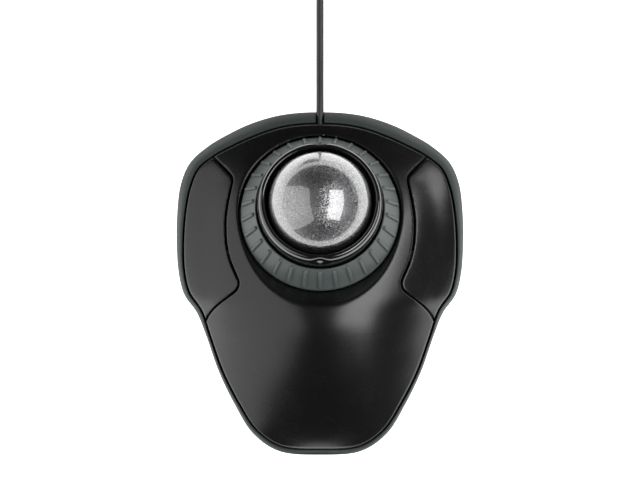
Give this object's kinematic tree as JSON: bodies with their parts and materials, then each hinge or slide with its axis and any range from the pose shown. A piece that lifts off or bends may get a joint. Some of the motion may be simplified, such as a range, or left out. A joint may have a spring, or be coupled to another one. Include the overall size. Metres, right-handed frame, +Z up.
{
  "type": "trackball mouse",
  "caption": "Corded palm-rest trackball mouse: large ball in a tilted scroll ring, two side buttons, grey-green bumper, and its cable in a coil.",
  "frame": {"origin": "on the table under the middle of the housing, cable left out", "axes": "+Z up, +Y towards the cable end, +X to the user's right"},
  "size_m": [0.144, 0.2434, 0.0534],
  "materials": {
    "soft_black": "soft-touch satin black moulding, faint fine texture",
    "bumper_plastic": "grey-green moulded ABS, fine matte texture",
    "ring_plastic": "grey-green moulded ABS, satin, raised ribs",
    "gloss_black": "polished black plastic",
    "ball_lacquer": "clear-lacquered dark grey with fine silver speckle",
    "inner_plastic": "plain black moulding",
    "clear_plastic": "clear moulded lens",
    "chip_black": "moulded chip package",
    "circuit_board": "green solder-masked board",
    "white_plastic": "natural nylon",
    "label": "blank printed-film label",
    "black_rubber": "soft moulded rubber",
    "foot_rubber": "matte rubber pad",
    "cable_jacket": "satin PVC cable jacket",
    "steel": "plated steel",
    "bearing_ceramic": "polished synthetic ruby"
  },
  "bodies": {
    "housing": {"base_shell": "bumper_plastic", "top_cover": "soft_black", "left_hinge_pin": "steel", "right_hinge_pin": "steel", "left_switch_body": "inner_plastic", "right_switch_body": "inner_plastic", "rubber_foot_1": "foot_rubber", "rubber_foot_2": "foot_rubber", "rubber_foot_3": "foot_rubber", "rubber_foot_4": "foot_rubber", "rubber_foot_5": "foot_rubber", "case_screw_1": "steel", "case_screw_2": "steel", "case_screw_3": "steel", "case_screw_4": "steel", "socket_screw_1": "steel", "socket_screw_2": "steel", "socket_screw_3": "steel", "board_screw_1": "steel", "board_screw_2": "steel", "rating_label": "label", "encoder_sensor": "inner_plastic", "ball_socket": "inner_plastic", "socket_collar": "gloss_black", "sensor_lens": "clear_plastic", "sensor_chip": "chip_black", "sensor_board": "circuit_board", "bearing_ball_1": "bearing_ceramic", "bearing_ball_2": "bearing_ceramic", "bearing_ball_3": "bearing_ceramic", "main_board": "circuit_board", "controller_chip": "chip_black", "cable_grommet": "black_rubber", "cable_lead": "cable_jacket", "board_connector": "white_plastic", "cable": "cable_jacket", "cable_coil": "cable_jacket", "cable_tie": "black_rubber", "cable_tail": "cable_jacket", "plug_overmould": "black_rubber", "plug_shell": "steel", "plug_insulator": "white_plastic"},
    "ball": {"trackball": "ball_lacquer"},
    "ring": {"scroll_ring": "ring_plastic", "encoder_ring": "inner_plastic"},
    "left_button": {"left_button": "soft_black"},
    "right_button": {"right_button": "soft_black"},
    "left_plunger": {"left_switch_plunger": "white_plastic"},
    "right_plunger": {"right_switch_plunger": "white_plastic"}
  },
  "joints": [
    {"name": "ball_roll", "type": "hinge", "parent": "housing", "child": "ball", "pos_m": [0, 0.0312, 0.0335], "axis": [1, 0, 0], "continuous": true},
    {"name": "ring_scroll", "type": "hinge", "parent": "housing", "child": "ring", "pos_m": [0, 0.0312, 0.0335], "axis": [0, 0.2672, 0.9636], "continuous": true},
    {"name": "left_button_press", "type": "hinge", "parent": "housing", "child": "left_button", "pos_m": [-0.0395, -0.001, 0.011], "axis": [-1, 0, 0], "range_deg": [0, 1.2], "stiffness_Nm_per_rad": 1.2, "springref_deg": -1.15},
    {"name": "right_button_press", "type": "hinge", "parent": "housing", "child": "right_button", "pos_m": [0.0395, -0.001, 0.011], "axis": [-1, 0, 0], "range_deg": [0, 1.2], "stiffness_Nm_per_rad": 1.2, "springref_deg": -1.15},
    {"name": "left_plunger_travel", "type": "slide", "parent": "housing", "child": "left_plunger", "axis": [0, 0, -1], "range_m": [0, 0.0004]},
    {"name": "right_plunger_travel", "type": "slide", "parent": "housing", "child": "right_plunger", "axis": [0, 0, -1], "range_m": [0, 0.0004]}
  ],
  "couplings": [
    {"joint": "left_plunger_travel", "follows": "left_button_press", "m_per_rad": 0.018},
    {"joint": "right_plunger_travel", "follows": "right_button_press", "m_per_rad": 0.018}
  ]
}
